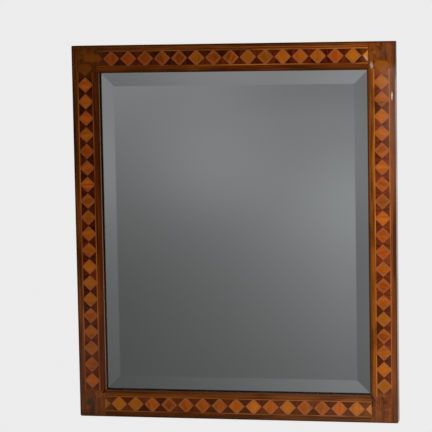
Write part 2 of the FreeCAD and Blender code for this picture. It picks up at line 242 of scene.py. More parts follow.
ring_colour = blend(softwood, times(softwood, late_wood, 0.50), given["Pale"], given["Dark"])
aged = blend(softwood, between(softwood, patches, 0.35, 0.75, 0.0, 0.50), ring_colour, given["Dark"])
fibre_shade = between(softwood, fibres, 0.3, 0.7, 0.30, 0.0)
fibred = blend(softwood, fibre_shade, aged, fibre_shadow, "MULTIPLY")
ridges = times_plus(softwood, late_wood, 0.5, times(softwood, fibres, 0.5))
fill(softwood, result, Color=blend(softwood, knot_heart, fibred, knot_brown), Height=ridges)

# Dirt in the joints of the carcass: how far it reaches to both sides of a tenon's shoulder, and its share
shoulder = -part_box("stile_left")[1].x
joint_brown = (0.030, 0.014, 0.007, 1)
joint_on_rail, joint_on_stile, joint_share = 0.0012, 0.0008, 0.8
carcass_shift, carcass_shift_step = 1.3, 0.9
carcass_relief = 0.00012

for number, (side, node_name) in enumerate(members.items()):
    pine, tree, shader, places = new_material("old_pine_" + side, roughness=0.72, Specular_IOR_Level=0.3)
    shift = carcass_shift + carcass_shift_step * number
    turned = centred_grain(tree, places, node_name, node_name.startswith("stile"), shift)
    wood = use_group(
        tree, softwood, Vector=turned, Pale=carcass_pale, Dark=carcass_dark,
        Heart_Depth=0.015, Heart_Across=0.055, Knot_Share=0.15,
    )
    off_the_middle = calculate(tree, "ABSOLUTE", coordinates(tree, places)["X"])
    at_the_shoulder = times(
        tree, between(tree, off_the_middle, shoulder - joint_on_rail, shoulder, 0.0, joint_share),
        between(tree, off_the_middle, shoulder + joint_on_stile, shoulder),
    )
    tree.links.new(blend(tree, at_the_shoulder, wood["Color"], joint_brown), shader.inputs["Base Color"])
    relief(tree, shader, wood["Height"], carcass_relief)
    finish_node(node_name, pine)

# The outer and inner bands: straight-grained walnut, knife-cut, laid along each member with hot glue and
# French polished. They are lighter towards the right, partly faded and partly painted light, and the polish
# has a milky bloom with a painted sheen.
band_shades = {
    "outer": ((0.040, 0.0080, 0.0009, 1), (0.150, 0.0360, 0.0042, 1)),
    "inner": ((0.032, 0.0058, 0.0008, 1), (0.132, 0.0300, 0.0036, 1)),
}


def by_side(*values):
    """A value for each member: left, right, top and bottom."""
    return dict(zip(members, values))


band_tone = {
    "outer": by_side((1.02, 1.20), (0.81, 0.94), (1.04, 0.98), (0.38, 0.50)),
    "inner": by_side((1.12, 0.95), (1.06, 1.46), (1.03, 0.98), (0.90, 1.36)),
}
band_tint = {
    "outer": by_side((1, 0.97, 0.95, 1), (1, 1, 1, 1), (1, 1, 1, 1), (1, 1.04, 1.2, 1)),
    "inner": by_side((1, 0.78, 0.75, 1), (1, 1.26, 1.2, 1), (1, 0.95, 1, 1), (1, 1.15, 1.3, 1)),
}
# How a band's tone changes across it, from its string to its other edge, where it grows darker
band_slope = {
    "outer": by_side((1.08, 0.93), (1.16, 0.92), (1.12, 0.95), (1.12, 0.92)),
    "inner": by_side((1.05, 0.82), (1.08, 0.52), (1.20, 0.95), (1.22, 0.58)),
}
# Each band's gain where the face is lighter towards the right, which is partly painted light
band_fade_and_light = {
    "outer": by_side(1.0, 1.35, 1.65, 1.9),
    "inner": by_side(1.0, 1.80, 0.80, 1.1),
}

# Where the face is lighter towards the right and the bottom, partly faded and partly painted light, where
# its polish has a milky bloom and a painted sheen, and the painted shade at the upper left. The limits are
# places on it, in metres from its middle.
fade_and_light, places, _, result = new_group("fade_and_light", ("Faded", "Bloom", "Shade"))
spot = coordinates(fade_and_light, places)
to_the_right = between(fade_and_light, spot["X"], -0.34, 0.36)
low_down = between(fade_and_light, spot["Z"], -0.20, -0.34)
cloudy = noise(fade_and_light, places, 9.0, detail=4.0, rough=0.6)
right_edge = between(fade_and_light, spot["X"], 0.258, 0.300)
high_up = between(fade_and_light, spot["Z"], 0.02, 0.24, 0.25, 1.48)
lower_end = between(fade_and_light, spot["Z"], -0.10, -0.28, 0.0, 0.18)
under_the_corner = between(fade_and_light, spot["Z"], 0.310, 0.289, 0.08, 1.0)
on_the_right = times(fade_and_light, right_edge, calculate(fade_and_light, "ADD", high_up, lower_end))
on_the_right = times(fade_and_light, on_the_right, under_the_corner)
low_right = times(fade_and_light, low_down, between(fade_and_light, spot["X"], -0.10, 0.22, 0.04, 0.32))
beside_the_glass = between(fade_and_light, spot["X"], -0.22, -0.27)
lower_left = times(fade_and_light, between(fade_and_light, spot["Z"], -0.02, -0.26, 0.0, 0.38), beside_the_glass)
bloom_and_sheen_reach = calculate(fade_and_light, "MAXIMUM", calculate(fade_and_light, "MAXIMUM", low_right, lower_left), on_the_right)
fill(
    fade_and_light, result, Faded=times_plus(fade_and_light, low_down, 0.25, to_the_right, limited=True),
    Bloom=times(fade_and_light, bloom_and_sheen_reach, between(fade_and_light, cloudy, 0.32, 0.62, 0.60, 1.0), limited=True),
    Shade=times(fade_and_light, between(fade_and_light, spot["X"], -0.05, -0.29), between(fade_and_light, spot["Z"], -0.12, 0.22)),
)

hair_line_brown = (0.42, 0.30, 0.25, 1)
pore_black = (0.010, 0.004, 0.002, 1)
veneer, places, given, result = new_group(
    "veneer", ("Color", "Height"), Deep=band_shades["outer"][0], Pale=band_shades["outer"][1],
    Streak=1.0, Pores=1.0,
)
streaks = noise(veneer, places, (7.0, 270.0, 270.0), detail=5.0, rough=0.62, bent=0.35)
tone_drift = noise(veneer, places, (9.0, 40.0, 40.0), detail=2.0)
hair_lines = noise(veneer, places, (70.0, 3200.0, 3200.0), detail=2.0)
pore_dashes = noise(veneer, places, (230.0, 4200.0, 4200.0), detail=1.0)
streak_share = between(veneer, times_plus(veneer, tone_drift, 0.55, streaks), 0.50, 1.02)
even_share = times_plus(veneer, minus(veneer, streak_share, 0.5), given["Streak"], 0.5, limited=True)
streaked = blend(veneer, even_share, given["Deep"], given["Pale"])
hair_shade = between(veneer, hair_lines, 0.25, 0.75, 0.30, 0.0)
lined = blend(veneer, hair_shade, streaked, hair_line_brown, "MULTIPLY")
pore_mask = times(veneer, between(veneer, pore_dashes, 0.62, 0.72), given["Pores"])
filled = times_plus(veneer, pore_mask, -0.8, times_plus(veneer, hair_lines, 0.2, 0.8))
fill(veneer, result, Color=blend(veneer, times(veneer, pore_mask, 0.7), lined, pore_black), Height=filled)


def cut_veneer(tree, places, shades, streak, pores):
    """A veneer's colour and height, from its deep and its pale shade."""
    deep, pale = shades
    return use_group(tree, veneer, Vector=places, Deep=deep, Pale=pale, Streak=streak, Pores=pores)


# What has happened to the face, and the painted highlights on it: (kind, middle X and Z, half length,
# half width, turn in degrees), in metres
marks = (
    # The highlight spots and the highlight streak are painted highlights, pale where the polish catches the
    # light
    ("highlight_spot", (0.2474, 0.3186), 0.0052, 0.0019, -66.0),
    ("highlight_spot", (0.2576, 0.3042), 0.0056, 0.0024, -84.0),
    ("highlight_streak", (0.2936, 0.2500), 0.0062, 0.0010, 88.0),
    ("stain", (-0.2812, -0.3212), 0.0078, 0.0054, 20.0),
    ("stain", (-0.2760, -0.3340), 0.0100, 0.0030, 84.0),
    ("crack", (0.2536, -0.3010), 0.0085, 0.0012, -58.0),
    ("crack", (0.2528, -0.3120), 0.0050, 0.0009, 86.0),
    ("crack", (-0.2528, -0.3005), 0.0046, 0.0020, 50.0),
    ("crack", (-0.2520, -0.2935), 0.0060, 0.0007, 88.0),
    ("scuff", (0.2800, 0.3270), 0.0120, 0.0080, 35.0),
    ("scuff", (0.2900, 0.3385), 0.0070, 0.0035, -20.0),
    ("patch", (-0.2615, 0.3245), 0.0150, 0.0072, 3.0),
    # The darkenings make strips darker along the top and bottom edges and by the corners
    ("darkening", (-0.2860, -0.3390), 0.0200, 0.0060, 4.0),
    ("darkening", (-0.2700, 0.3400), 0.0260, 0.0040, 0.0),
    ("darkening", (-0.0400, -0.3430), 0.1100, 0.0034, 0.0),
    ("darkening", (0.2800, 0.3230), 0.0090, 0.0050, 70.0),
    ("darkening", (-0.0150, -0.3430), 0.0650, 0.0036, 0.0),
    ("darkening", (-0.2760, 0.3462), 0.0240, 0.0014, 0.0),
    ("darkening", (-0.2820, -0.3430), 0.0190, 0.0030, 0.0),
    ("darkening", (0.2555, -0.3220), 0.0200, 0.0030, 90.0),
    ("darkening", (-0.2885, 0.3250), 0.0180, 0.0018, 90.0),
)
# The colour of each kind, how much of it shows, and how softly it ends, in half widths
mark_looks = {
    "highlight_spot": ((0.420, 0.270, 0.210, 1), 0.78, 1.00), "highlight_streak": ((0.700, 0.560, 0.480, 1), 0.90, 0.95),
    "stain": ((0.022, 0.020, 0.019, 1), 0.85, 0.90), "crack": ((0.010, 0.0045, 0.0025, 1), 0.92, 0.25),
    "scuff": ((0.150, 0.055, 0.030, 1), 0.35, 0.90), "darkening": ((0.022, 0.0070, 0.0030, 1), 0.42, 1.10),
    "patch": ((0.132, 0.0310, 0.0026, 1), 0.80, 0.80),
}
# The outline of a mark is torn by a fine noise, so many waves to the metre and so many half widths deep
tears_per_metre, tear_depth, mark_edge = 420.0, 2.2, 2.10

marked, places, given, result = new_group("marked", ("Color", "Dull"), Color=(0.1, 0.03, 0.01, 1))
ragged = add(marked, "ShaderNodeTexNoise")
fill(marked, ragged.inputs, Vector=places, Scale=tears_per_metre, Detail=4.0)
marked_colour, dulled = given["Color"], 0.0
for kind, (mark_x, mark_z), half_length, half_width, degrees in marks:
    mark_colour, strength, softness = mark_looks[kind]
    on_mark = add(marked, "ShaderNodeMapping", vector_type="TEXTURE")
    fill(
        marked, on_mark.inputs, Vector=places, Location=(mark_x, 0.0, mark_z),
        Rotation=(0.0, -math.radians(degrees), 0.0), Scale=(half_length, 1.0, half_width),
    )
    flat = add(marked, "ShaderNodeVectorMath", operation="MULTIPLY")
    feed_all(marked, flat.inputs, on_mark.outputs[0], (1.0, 0.0, 1.0))
    reach = add(marked, "ShaderNodeVectorMath", operation="LENGTH")
    marked.links.new(flat.outputs[0], reach.inputs[0])
    torn = times_plus(marked, ragged.outputs[0], tear_depth, reach.outputs["Value"])
    share = between(marked, torn, mark_edge + softness / 2, mark_edge - softness / 2, 0.0, strength)
    marked_colour = blend(marked, share, marked_colour, mark_colour)
    dulled = calculate(marked, "MAXIMUM", dulled, share)
fill(marked, result, Color=marked_colour, Dull=dulled)


def brightened(tree, colour, strength):
    """A colour times a strength."""
    made = add(tree, "ShaderNodeVectorMath", operation="SCALE")
    fill(tree, made.inputs, Vector=colour, Scale=strength)
    return made.outputs[0]


polish_relief = 0.00006
polish_tint = (1.0, 0.34, 0.08, 1)
grime_brown = (0.35, 0.28, 0.24, 1)
bloom_and_sheen_white = (0.40, 0.235, 0.165, 1)
bloom_and_sheen_share, bloom_coat, shade_depth, mark_roughness = 0.165, 0.4, 0.27, 0.35
polish, places, given, result = new_group(
    "polish", ("Color", "Roughness", "Coat", "Height"),
    Color=(0.1, 0.03, 0.01, 1), Height=0.5, Gain=1.0, Smooth=0.24, Dull=0.46,
)
# The tone towards the right is partly painted light, the bloom carries a painted sheen, and the shade at the
# upper left is painted shade
age_and_light = use_group(polish, fade_and_light, Vector=places)
gain_now = times_plus(polish, age_and_light["Faded"], minus(polish, given["Gain"], 1.0), 1.0)
gain_now = times(polish, gain_now, times_plus(polish, age_and_light["Shade"], -shade_depth, 1.0))
smears = noise(polish, places, 26.0, detail=5.0, rough=0.6)
darkening = noise(polish, places, 14.0, detail=6.0, rough=0.7)
grime_share = between(polish, darkening, 0.50, 0.78, 0.0, 0.6)
dirty = blend(polish, grime_share, brightened(polish, given["Color"], gain_now), grime_brown, "MULTIPLY")
milky_and_sheen = blend(polish, times(polish, age_and_light["Bloom"], bloom_and_sheen_share), dirty, bloom_and_sheen_white)
# The marks bring the painted highlights with them
marks_and_highlights = use_group(polish, marked, Vector=places, Color=milky_and_sheen)
wiped = between(polish, smears, 0.25, 0.75, given["Smooth"], given["Dull"], how="LINEAR")
ripple = noise(polish, places, 55.0, detail=3.0)
fill(
    polish, result, Color=marks_and_highlights["Color"], Roughness=times_plus(polish, marks_and_highlights["Dull"], mark_roughness, wiped),
    Coat=times(polish, times(polish, age_and_light["Bloom"], bloom_coat), minus(polish, 1.0, marks_and_highlights["Dull"])),
    Height=times_plus(polish, ripple, 0.35, times(polish, given["Height"], 0.65)),
)


def polished_wood(name, shine=0.30):
    """A polished veneer: the shader's own fixed values, and the places on it."""
    return new_material(
        name, Specular_IOR_Level=shine, Specular_Tint=polish_tint, Coat_Roughness=0.30, Coat_IOR=1.45,
    )


def lay_polish(tree, shader, places, colour, height, gain=1.0, smooth=0.24, dull=0.46):
    """The common finish over a wood's own colour and pores, with its painted light, shade, sheen and
    highlights.
    """
    top = use_group(
        tree, polish, Vector=places, Color=colour, Height=height, Gain=gain, Smooth=smooth, Dull=dull,
    )
    fill(tree, shader.inputs, Base_Color=top["Color"], Roughness=top["Roughness"], Coat_Weight=top["Coat"])
    relief(tree, shader, top["Height"], polish_relief)


def is_upright(side):
    return side in ("left", "right")


def axes_of(side):
    """The axis along a member, and the one across it."""
    return (2, 0) if is_upright(side) else (0, 2)


def off_centre(tree, side, places):
    """How far from the middle of the mirror a place lies, across a member."""
    return calculate(tree, "ABSOLUTE", coordinates(tree, places)["XYZ"[axes_of(side)[1]]])


def tone_along(tree, side, places, tones):
    """A tone that drifts along a member, from its low or left end to the other."""
    axis = axes_of(side)[0]
    low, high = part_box("strings_" + side)
    return between(tree, coordinates(tree, places)["XYZ"[axis]], low[axis], high[axis], *tones)


band_shift = 0.7

for side in members:
    for band, shades in band_shades.items():
        band_name = f"{band}_band_{side}"
        walnut, tree, shader, places = polished_wood(f"walnut_{band}_{side}")
        turned = along_grain(tree, places, is_upright(side), place=(len(side) * band_shift, 0.0, 0.0))
        wood = cut_veneer(tree, turned, shades, streak=1.6, pores=0.8)
        tinted = blend(tree, 1.0, wood["Color"], band_tint[band][side], "MULTIPLY")
        shaded = brightened(tree, tinted, tone_along(tree, side, places, band_tone[band][side]))
        edges = [abs(corner[axes_of(side)[1]]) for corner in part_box(band_name)]
        from_string, to_edge = sorted(edges, reverse=band == "inner")
        slope = between(tree, off_centre(tree, side, places), from_string, to_edge, *band_slope[band][side])
        shaded = brightened(tree, shaded, slope)
        lay_polish(tree, shader, places, shaded, wood["Height"], gain=band_fade_and_light[band][side])
        finish_node(band_name, walnut)

# The strings: two lines of boxwood 1.8 mm wide on each member, shot to width and let in between the bands
# and the lozenges. They have gone brown, their tone along the members is partly painted light, darkest at
# the top left and lightest on the right, and dirt has taken parts of them.
string_shades = (0.120, 0.033, 0.005, 1), (0.300, 0.098, 0.014, 1)
string_dirt = (0.070, 0.018, 0.006, 1)
# Their tone along each member, partly painted light: low at the top left and high on the right
string_tone = {
    "inner": by_side((1.22, 0.95), (1.42, 1.90), (0.62, 1.55), (0.90, 1.18)),
    "outer": by_side((1.18, 1.22), (1.58, 2.15), (0.58, 1.62), (0.62, 1.10)),
}

for side in members:
    boxwood, tree, shader, places = polished_wood("boxwood_" + side)
    turned = along_grain(tree, places, is_upright(side))
    wood = cut_veneer(tree, turned, string_shades, streak=1.1, pores=0.0)
    low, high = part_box("strings_" + side)
    row_middle = abs(low[axes_of(side)[1]] + high[axes_of(side)[1]]) / 2
    is_outer = calculate(tree, "GREATER_THAN", off_centre(tree, side, places), row_middle)
    inner, outer = [tone_along(tree, side, places, string_tone[which][side]) for which in ("inner", "outer")]
    strength = times_plus(tree, is_outer, minus(tree, outer, inner), inner)
    lost = noise(tree, turned, (16.0, 60.0, 60.0), detail=3.0)
    dirt_share = between(tree, lost, 0.52, 0.68, 0.0, 0.70)
    coloured = blend(tree, dirt_share, brightened(tree, wood["Color"], strength), string_dirt)
    lay_polish(tree, shader, places, coloured, wood["Height"])
    finish_node("strings_" + side, boxwood)

# The lozenges: satinwood squares set on their corners, with two points cut off along the strings, each a
# little different in colour and grain, with a duller rim. Fifteen whole ones on a rail, nineteen on a stile.
lozenge_shades = (0.160, 0.0240, 0.0009, 1), (0.355, 0.0810, 0.0040, 1)
lozenge_red = (0.250, 0.0300, 0.0010, 1)
lozenge_gold = (0.340, 0.1050, 0.0030, 1)
lozenge_rim, rim_strength = (0.195, 0.0660, 0.0240, 1), 0.62
rim_start, rim_end, rim_smudge = 0.58, 1.02, 0.24
# A lozenge's own tone: the least, and how much more chance may give it. The seeds choose each row's draw.
lozenge_tone, lozenge_tone_spread = 0.70, 0.60
lozenge_draw = by_side(221.0, 122.0, 83.0, 184.0)
row_gain = by_side(1.00, 1.16, 1.12, 1.22)
row_tone = by_side((0.89, 1.38), (0.95, 0.98), (0.80, 0.92), (0.84, 0.96))
red_share = by_side((0.30, 0.60), (0.20, 0.20), (0.65, 0.35), (0.10, 0.00))
gold_share = by_side((0.55, 0.30), (0.65, 0.65), (0.35, 0.75), (0.85, 0.85))
# The cut pieces at the low or left end of a row and at the other: their share of a colour of their own
cut_look = {
    "left": ((0.75, (0.095, 0.0280, 0.0030, 1)), (0.80, (0.095, 0.0280, 0.0030, 1))),
    "right": ((0.55, (0.150, 0.0500, 0.0080, 1)), (0.85, (0.172, 0.0490, 0.0030, 1))),
    "top": ((0.72, (0.080, 0.0200, 0.0040, 1)), (0.75, (0.440, 0.1450, 0.0150, 1))),
    "bottom": ((0.75, (0.170, 0.0550, 0.0110, 1)), (0.50, (0.380, 0.1350, 0.0300, 1))),
}
# In pitches: how far the cut pieces go on, a lozenge from point to point and along its cut-off points, and
# how far the brown at a row's end reaches to both sides of it
rail_count, rail_cut_share = 15, 0.3489
stile_count, stile_low_share, stile_high_share = 19, 0.1365, 0.2795
lozenge_share, lozenge_flat_share = 0.955, 0.16
brown_inwards, brown_outwards = 0.26, 0.10
grain_swing = 0.8
grain_leap = (0.37, 0.91, 0.53)


def row_of(side):
    """A member's row: where it starts, its pitch, how many whole ones, and its middle line and width."""
    axis, other = axes_of(side)
    low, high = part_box("strings_" + side)
    run = high[axis] - low[axis]
    if is_upright(side):
        count, low_share, all_shares = stile_count, stile_low_share, stile_low_share + stile_high_share
    else:
        count, low_share, all_shares = rail_count, rail_cut_share, 2 * rail_cut_share
    pitch = run / (count + all_shares)
    row_low, row_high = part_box("lozenges_" + side)
    middle, width = (row_low[other] + row_high[other]) / 2, row_high[other] - row_low[other]
    return low[axis] + low_share * pitch, pitch, count, middle, width


tile, places, given, result = new_group(
    "tile", ("Tone", "Hue", "Rim", "Cut Low", "Cut High", "Row End", "Grain"),
    Start=0.0, Pitch=0.03, Count=15.0, Middle=0.0, Width=0.025, Half_Step=0.0, Seed=0.0,
)
spot = coordinates(tile, places)
steps = calculate(tile, "DIVIDE", minus(tile, spot["X"], given["Start"]), given["Pitch"])
past_the_last = minus(tile, steps, given["Count"])
near_an_end = calculate(
    tile, "MAXIMUM", between(tile, steps, brown_inwards, -brown_outwards),
    between(tile, past_the_last, -brown_inwards, brown_outwards),
)
before_the_first = calculate(tile, "LESS_THAN", steps, 0.0)
after_the_last = calculate(tile, "GREATER_THAN", past_the_last, 0.0)
steps = calculate(tile, "ADD", steps, given["Half Step"])
number = calculate(tile, "FLOOR", steps)
in_piece = minus(tile, minus(tile, steps, number), 0.5)
over = minus(tile, spot["Z"], given["Middle"])
upper = times(tile, calculate(tile, "GREATER_THAN", over, 0.0), given["Half Step"])
ticket = add(tile, "ShaderNodeCombineXYZ")
fill(tile, ticket.inputs, X=number, Y=upper, Z=given["Seed"])
chance = add(tile, "ShaderNodeTexWhiteNoise", noise_dimensions="3D")
tile.links.new(ticket.outputs[0], chance.inputs["Vector"])
own_tone, own_hue, own_lean = channels(tile, chance.outputs["Color"])
out_along = times(tile, calculate(tile, "ABSOLUTE", in_piece), 2.0)
out_across = calculate(tile, "DIVIDE", calculate(tile, "ABSOLUTE", over), times(tile, given["Width"], 0.5))
to_the_sides = times_plus(tile, out_across, lozenge_share - lozenge_flat_share, out_along)
outward = calculate(tile, "MAXIMUM", calculate(tile, "DIVIDE", to_the_sides, lozenge_share), out_across)
smudge = noise(tile, places, 140.0, detail=3.0)
outward = times_plus(tile, smudge, rim_smudge, outward)
lay = add(tile, "ShaderNodeVectorRotate", rotation_type="Y_AXIS")
angle = times_plus(tile, own_lean, grain_swing, quarter_turn - grain_swing / 2)
fill(tile, lay.inputs, Vector=places, Angle=angle)
shifted = add(tile, "ShaderNodeVectorMath", operation="MULTIPLY_ADD")
feed_all(tile, shifted.inputs, ticket.outputs[0], grain_leap, lay.outputs[0])
fill(
    tile, result, Tone=own_tone, Hue=own_hue, Rim=between(tile, outward, rim_start, rim_end),
    Cut_Low=before_the_first, Cut_High=after_the_last, Row_End=near_an_end, Grain=shifted.outputs[0],
)


def place_tiles(tree, side, places, half_step, seed):
    """The row's own numbering on a member, and its coordinates with X along the member."""
    start, pitch, count, middle, width = row_of(side)
    turned = along_grain(tree, places, is_upright(side))
    if is_upright(side):
        # Turned a quarter about Y, X is the old Z and Z is the old X the other way round
        middle = -middle
    return use_group(
        tree, tile, Vector=turned, Start=start, Pitch=pitch, Count=count, Middle=middle, Width=width,
        Half_Step=half_step, Seed=seed,
    )


for side in members:
    satinwood, tree, shader, places = polished_wood("satinwood_" + side)
    piece = place_tiles(tree, side, places, 0.0, lozenge_draw[side])
    wood = cut_veneer(tree, piece["Grain"], lozenge_shades, streak=1.1, pores=0.12)
    redness = between(tree, piece["Hue"], 0.50, 1.0, 0.0, tone_along(tree, side, places, red_share[side]))
    goldness = between(tree, piece["Hue"], 0.60, 0.0, 0.0, tone_along(tree, side, places, gold_share[side]))
    reddened = blend(tree, redness, wood["Color"], lozenge_red)
    gilded = blend(tree, goldness, reddened, lozenge_gold)
    along_the_row = tone_along(tree, side, places, row_tone[side])
    tone = times(tree, times_plus(tree, piece["Tone"], lozenge_tone_spread, lozenge_tone), along_the_row)
    toned = brightened(tree, gilded, tone)
    coloured = blend(tree, times(tree, piece["Rim"], rim_strength), toned, lozenge_rim)
    for cut, (share, colour) in zip(("Cut Low", "Cut High"), cut_look[side]):
        coloured = blend(tree, times(tree, piece[cut], share), coloured, colour)
    lay_polish(tree, shader, places, coloured, wood["Height"], gain=row_gain[side])
    finish_node("lozenges_" + side, satinwood)

# The ground between the lozenges: small triangles of rosewood, nearly black in the shade and plum where the
# polish has a milky bloom and a painted sheen. They were cut from one strip, so only their tone differs.
ground_shades = (0.016, 0.0014, 0.0003, 1), (0.072, 0.0090, 0.0014, 1)
ground_brown = (0.078, 0.0230, 0.0045, 1)
row_end_brown, row_end_share = (0.080, 0.0200, 0.0040, 1), 0.55
brown_share = by_side(0.0, 0.12, 0.0, 0.30)
ground_gain = by_side(1.5, 2.5, 1.7, 1.7)
ground_row_tone = by_side((1.70, 1.00), (0.66, 0.94), (1.00, 1.00), (1.00, 0.76))
ground_tone, ground_tone_spread = 0.58, 0.85
first_ground_draw = 11.0

for number, side in enumerate(members):
    rosewood, tree, shader, places = polished_wood("rosewood_" + side)
    piece = place_tiles(tree, side, places, 0.5, first_ground_draw + number)
    wood = cut_veneer(tree, piece["Grain"], ground_shades, streak=1.2, pores=0.7)
    browned = blend(tree, brown_share[side], wood["Color"], ground_brown)
    along_the_row = tone_along(tree, side, places, ground_row_tone[side])
    tone = times(tree, times_plus(tree, piece["Tone"], ground_tone_spread, ground_tone), along_the_row)
    toned = brightened(tree, browned, tone)
    ended = blend(tree, times(tree, piece["Row End"], row_end_share), toned, row_end_brown)
    lay_polish(tree, shader, places, ended, wood["Height"], gain=ground_gain[side])
    finish_node("ground_" + side, rosewood)

# The corner fields: plain figured walnut at both ends of each stile, laid with its grain upright. They carry
# the frame's marks: a dark stain, two cracks from the sight corners, and pale painted highlights at one
# seam.
corner_shades = (0.042, 0.0085, 0.0012, 1), (0.170, 0.0430, 0.0062, 1)
curl_brown = (0.30, 0.20, 0.16, 1)
cloud_amber = (0.235, 0.072, 0.011, 1)
corner_names = [f"corner_field_{end}_{side}" for end in ("top", "bottom") for side in ("left", "right")]
corner_shift = 0.31

figured, places, given, result = new_group("figured", ("Color",), Color=corner_shades[1])
clouds = noise(figured, places, (60.0, 60.0, 36.0), detail=5.0, rough=0.65, bent=1.2)
curls = noise(figured, places, (120.0, 120.0, 60.0), detail=3.0, bent=2.4)
curl_share = between(figured, curls, 0.43, 0.70, 0.0, 0.70)
cloud_share = between(figured, clouds, 0.50, 0.75, 0.0, 0.50)
curled = blend(figured, curl_share, given["Color"], curl_brown, "MULTIPLY")
figured.links.new(blend(figured, cloud_share, curled, cloud_amber), result["Color"])

for name in corner_names:
    walnut, tree, shader, places = polished_wood(name.replace("field", "walnut"))
    turned = along_grain(tree, places, True, place=(0.0, 0.0, corner_shift * len(name)))
    wood = cut_veneer(tree, turned, corner_shades, streak=0.95, pores=0.9)
    figure = use_group(tree, figured, Vector=places, Color=wood["Color"])
    lay_polish(tree, shader, places, figure["Color"], wood["Height"], gain=1.3)
    finish_node(name, walnut)

# The lipping: dark walnut 2.2 mm thick round the outside, mitred at the corners and glued to the carcass.
# Its front arris and its outer side are grey: a little worn all round, and much greyer on the right, which
# is painted light.
lipping_shades = (0.006, 0.0018, 0.0005, 1), (0.040, 0.0110, 0.0028, 1)
worn_and_lit_grey = (0.215, 0.1550, 0.1250, 1)
# On the right most of the grey is painted light
worn_and_lit_share = by_side(0.10, 0.80, 0.10, 0.10)
edge_start, edge_end = 0.0009, 0.0001
dark_above, grey_below = 0.292, 0.272

for side in members:
    edge_walnut, tree, shader, places = polished_wood("edge_walnut_" + side)
    turned = along_grain(tree, places, is_upright(side), place=(0.5, 0.0, 0.0))
    wood = cut_veneer(tree, turned, lipping_shades, streak=1.0, pores=0.8)
    outside = max(abs(corner[axes_of(side)[1]]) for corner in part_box("lipping_" + side))
    on_the_edge = between(tree, off_centre(tree, side, places), outside - edge_start, outside - edge_end)
    below_the_top = between(tree, coordinates(tree, places)["Z"], dark_above, grey_below)
    grey_patches = noise(tree, turned, (8.0, 60.0, 60.0), detail=4.0)
    grey_patch_share = between(tree, grey_patches, 0.30, 0.62, 0.55 * worn_and_lit_share[side], worn_and_lit_share[side])
    worn_and_lit = times(tree, times(tree, on_the_edge, below_the_top), grey_patch_share)
    coloured = blend(tree, worn_and_lit, wood["Color"], worn_and_lit_grey)
    lay_polish(tree, shader, places, coloured, wood["Height"], gain=1.6)
    finish_node("lipping_" + side, edge_walnut)

# The lining: a strip 2.4 mm thick that covers the inner edge of the lip, stained black. Its sight arris
# is paler: dusted bare for a century, and painted light as well, most of all on the left and the top.
lining_shades = (0.006, 0.0022, 0.0010, 1), (0.030, 0.0110, 0.0050, 1)
lining_rubbed_and_lit = (0.360, 0.2150, 0.1450, 1)
lining_brown = (0.150, 0.0520, 0.0170, 1)
# How much of the paler arris shows on each side, partly painted light
rubbed_and_lit_share = by_side(0.65, 0.12, 0.75, 0.05)
brown_face_share = by_side(0.25, 0.12, 0.15, 0.42)
# Behind the face, in metres: where the face ends and the arris is clear of it, and where the paler arris
# fades out
face_end, arris_start, pale_end, pale_gone = 0.00005, 0.00030, 0.0022, 0.0042

for side in members:
    stained, tree, shader, places = polished_wood("stained_lining_" + side, shine=0.04)
    turned = along_grain(tree, places, is_upright(side))
    wood = cut_veneer(tree, turned, lining_shades, streak=0.7, pores=0.4)
    behind_face = minus(tree, coordinates(tree, places)["Y"], cad_low[1])
    off_the_face = between(tree, behind_face, face_end, arris_start)
    near_the_arris = between(tree, behind_face, pale_gone, pale_end)
    rubbed_and_lit = times(tree, times(tree, off_the_face, near_the_arris), rubbed_and_lit_share[side])
    on_the_face = between(tree, behind_face, arris_start, face_end, 0.0, brown_face_share[side])
    lined = blend(tree, on_the_face, blend(tree, rubbed_and_lit, wood["Color"], lining_rubbed_and_lit), lining_brown)
    lay_polish(tree, shader, places, lined, wood["Height"], gain=1.2, smooth=0.55, dull=0.80)
    finish_node("sight_lining_" + side, stained)

# The glass: 5 mm plate with a shallow bevel 32 mm wide on its front edges. Behind it lie the silver, the
# thinnest of films, and the red-brown paint that keeps the air from it.
bevel_width = 0.032
glass_tint = (0.965, 0.985, 0.975, 1)
plate, tree, shader, places = new_material("plate_glass", roughness=0.0, IOR=1.52, Transmission_Weight=1.0)
spot = coordinates(tree, places)
glass_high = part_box("mirror_glass")[1]
crease_x, crease_z = glass_high.x - bevel_width, glass_high.z - bevel_width

# How far out on the bevel a place lies, past its crease: below zero it is on the flat of the plate
out_right = minus(tree, spot["X"], crease_x)
out_sideways = minus(tree, calculate(tree, "ABSOLUTE", spot["X"]), crease_x)
out_down = minus(tree, times(tree, spot["Z"], -1.0), crease_z)
out_updown = minus(tree, calculate(tree, "ABSOLUTE", spot["Z"]), crease_z)
on_the_right_bevel = calculate(tree, "GREATER_THAN", out_right, calculate(tree, "MAXIMUM", out_updown, 0.0))
on_the_low_bevel = calculate(tree, "GREATER_THAN", out_down, calculate(tree, "MAXIMUM", out_sideways, 0.0))
# The bevels are painted darker, standing for dark reflections: the right one from its middle upwards, the
# low one towards the left
from_the_middle = between(tree, spot["Z"], -0.24, 0.02, 0.0, 0.215)
right_dimming = times(tree, from_the_middle, between(tree, spot["Z"], 0.04, 0.24, 1.0, 0.78))
low_dimming = between(tree, spot["X"], -0.22, 0.22, 0.195, 0.06)
bevel_dimming = times_plus(tree, on_the_right_bevel, right_dimming, times(tree, on_the_low_bevel, low_dimming))
tree.links.new(blend(tree, bevel_dimming, glass_tint, (0.0, 0.0, 0.0, 1)), shader.inputs["Base Color"])
finish_node("mirror_glass", plate)

